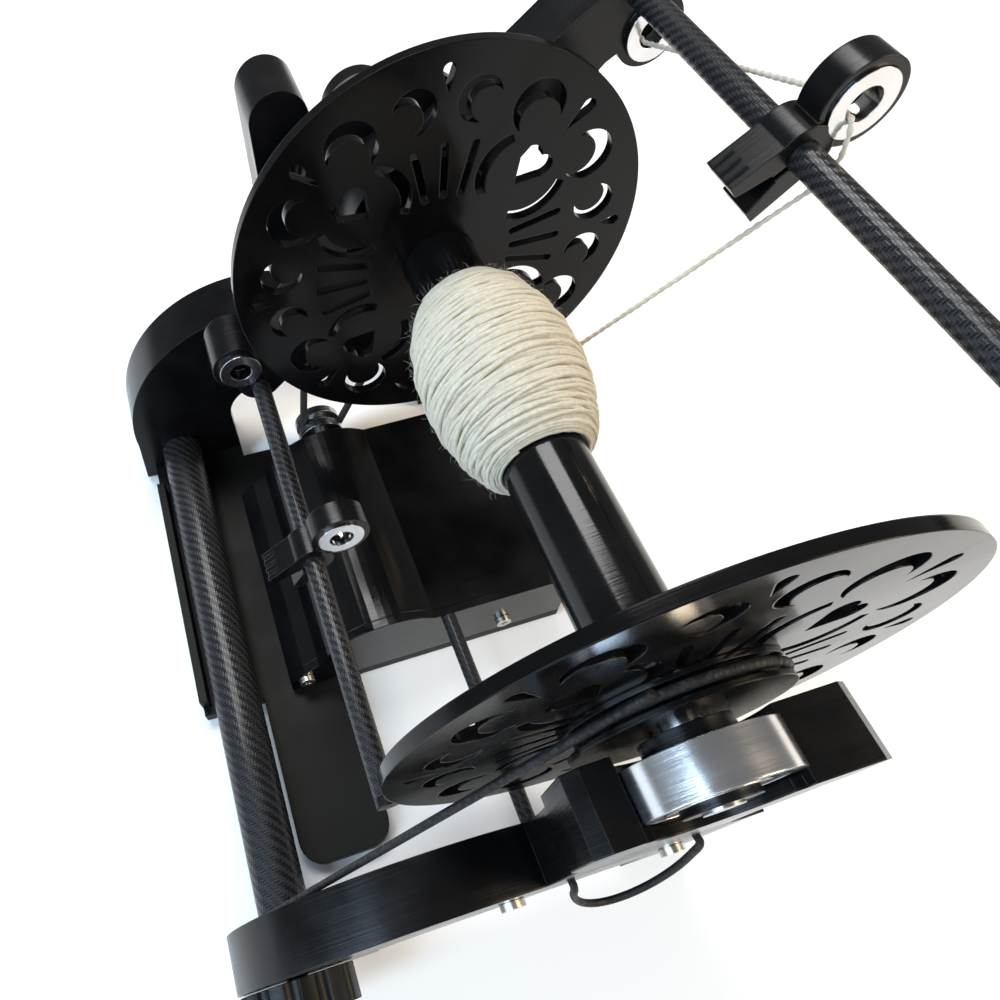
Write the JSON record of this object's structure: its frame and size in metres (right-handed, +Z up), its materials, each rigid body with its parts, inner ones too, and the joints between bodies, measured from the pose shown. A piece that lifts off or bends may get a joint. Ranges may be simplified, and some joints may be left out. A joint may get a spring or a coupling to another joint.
{
  "type": "electric yarn spinner",
  "caption": "Electric spinning wheel: a motor-driven flyer with two rods and sliding yarn guides turns round a braked bobbin of cream yarn between two arched uprights.",
  "frame": {"origin": "middle of the machine on the table, below the centre of its overall box", "axes": "+Y along the flyer axis from the orifice at the front to the brake at the rear, +Z up, +X towards the wide foot and the spine tube"},
  "size_m": [0.1832, 0.2452, 0.1975],
  "materials": {
    "printed_black": "3-D printed black plastic with fine layer lines, satin to glossy",
    "carbon_tube": "carbon fibre tube, twill weave under clear lacquer",
    "bearing_steel": "ground bearing steel, bright",
    "steel_ring": "polished steel eyelet",
    "rubber_black": "matt black rubber",
    "yarn_cream": "cream wool singles, slightly fuzzy",
    "brake_cord_black": "black braided cord",
    "belt_amber": "dark round polyurethane belt",
    "motor_metal": "plated motor can",
    "board_green": "circuit board",
    "bush_white": "plain acetal bearing",
    "screw_steel": "zinc plated screws",
    "switch_black": "moulded black plastic"
  },
  "bodies": {
    "frame": {"front_upright": "printed_black", "rear_upright": "printed_black", "spine_tube": "carbon_tube", "tie_rod": "carbon_tube", "base_deck": "printed_black", "rubber_feet": "rubber_black", "motor_housing": "printed_black", "housing_end_cover": "printed_black", "motor": "motor_metal", "drive_belt": "belt_amber", "control_board": "board_green", "front_bearing_outer": "bearing_steel", "front_bearing_balls": "bearing_steel", "rear_bearing_outer": "bearing_steel", "rear_bearing_balls": "bearing_steel", "brake_cord": "brake_cord_black", "power_inlet": "switch_black", "housing_screws": "screw_steel", "upright_screws": "screw_steel"},
    "flyer": {"orifice_tube": "steel_ring", "orifice_cap": "printed_black", "flyer_pulley": "printed_black", "flyer_head": "printed_black", "flyer_shaft": "steel_ring", "rear_collar": "printed_black", "rod_a": "carbon_tube", "rod_b": "carbon_tube", "eyelet_a": "steel_ring", "eyelet_b": "steel_ring", "rod_tips": "printed_black", "front_bearing_inner": "bearing_steel", "rear_bearing_inner": "bearing_steel", "yarn_lead": "yarn_cream"},
    "bobbin": {"bobbin_core": "printed_black", "front_flange": "printed_black", "rear_flange": "printed_black", "brake_whorl": "printed_black", "bobbin_bushes": "bush_white", "yarn_core": "yarn_cream", "yarn_winding": "yarn_cream"},
    "slider_a_body": {"slider_a": "printed_black", "slider_a_ring": "steel_ring", "yarn_strand": "yarn_cream"},
    "slider_b_body": {"slider_b": "printed_black", "slider_b_ring": "steel_ring"},
    "motor_rotor": {"motor_pulley": "motor_metal"},
    "tension_knob_body": {"tension_knob": "printed_black"},
    "speed_knob_body": {"speed_knob": "printed_black"},
    "switch_body": {"direction_switch": "switch_black"}
  },
  "joints": [
    {"name": "flyer_spin", "type": "hinge", "parent": "frame", "child": "flyer", "pos_m": [-0.01936, -0.03655, 0.132], "axis": [0, 1, 0], "continuous": true},
    {"name": "bobbin_spin", "type": "hinge", "parent": "flyer", "child": "bobbin", "pos_m": [-0.01936, -0.03655, 0.132], "axis": [0, 1, 0], "continuous": true},
    {"name": "motor_spin", "type": "hinge", "parent": "frame", "child": "motor_rotor", "pos_m": [0.01464, -0.07755, 0.0205], "axis": [0, 1, 0], "continuous": true},
    {"name": "slider_a_slide", "type": "slide", "parent": "flyer", "child": "slider_a_body", "axis": [0, 1, 0], "range_m": [-0.022, 0.066]},
    {"name": "slider_b_slide", "type": "slide", "parent": "flyer", "child": "slider_b_body", "axis": [0, 1, 0], "range_m": [-0.043, 0.062]},
    {"name": "tension_knob_turn", "type": "hinge", "parent": "frame", "child": "tension_knob_body", "pos_m": [0.07164, 0.11305, 0.032], "axis": [0, 1, 0], "range_deg": [-720, 720]},
    {"name": "speed_knob_turn", "type": "hinge", "parent": "frame", "child": "speed_knob_body", "pos_m": [0.05164, -0.11055, 0.05], "axis": [0, 1, 0], "range_deg": [0, 300]},
    {"name": "switch_slide", "type": "slide", "parent": "frame", "child": "switch_body", "axis": [0, 0, 1], "range_m": [-0.003, 0.003]}
  ],
  "couplings": [
    {"joint": "motor_spin", "follows": "flyer_spin", "ratio": 3.8571}
  ]
}
